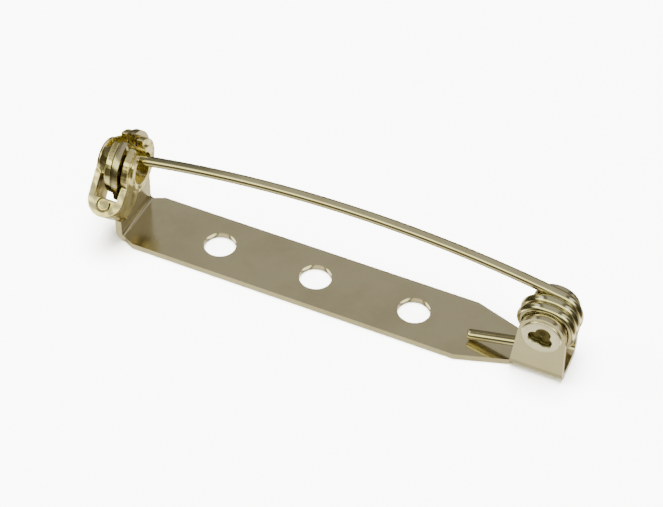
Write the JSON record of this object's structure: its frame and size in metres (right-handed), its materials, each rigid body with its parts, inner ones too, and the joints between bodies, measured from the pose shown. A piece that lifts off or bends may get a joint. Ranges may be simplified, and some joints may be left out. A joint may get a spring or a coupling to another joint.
{
  "type": "brooch pin finding",
  "caption": "Flat metal bar pin for a brooch: sewing holes along the bar, a riveted spring pin that swings open and a turning safety catch over its point.",
  "frame": {"origin": "on the glue face, at the middle of the middle sewing hole", "axes": "+X along the bar from the catch to the hinge, +Z from the glue face towards the pin, +Y across the bar"},
  "size_m": [0.0379, 0.007, 0.0086],
  "materials": {
    "bar_nickel": "satin nickel plate with a warm grey tint",
    "wire_nickel": "polished nickel plate with a warm tint",
    "rivet_nickel": "polished nickel plate",
    "catch_nickel": "polished nickel plate with a pale gold tint"
  },
  "bodies": {
    "base": {"bar": "bar_nickel", "hinge_rivet": "rivet_nickel"},
    "stem": {"pin_stem": "wire_nickel"},
    "catch": {"safety_catch": "catch_nickel"}
  },
  "joints": [
    {"name": "stem_swing", "type": "hinge", "parent": "base", "child": "stem", "pos_m": [0.0181, 0, 0.00435], "axis": [0, 1, 0], "range_deg": [0, 110]},
    {"name": "catch_turn", "type": "hinge", "parent": "base", "child": "catch", "pos_m": [-0.01545, 0, 0.006], "axis": [-1, 0, 0], "range_deg": [0, 120]}
  ]
}
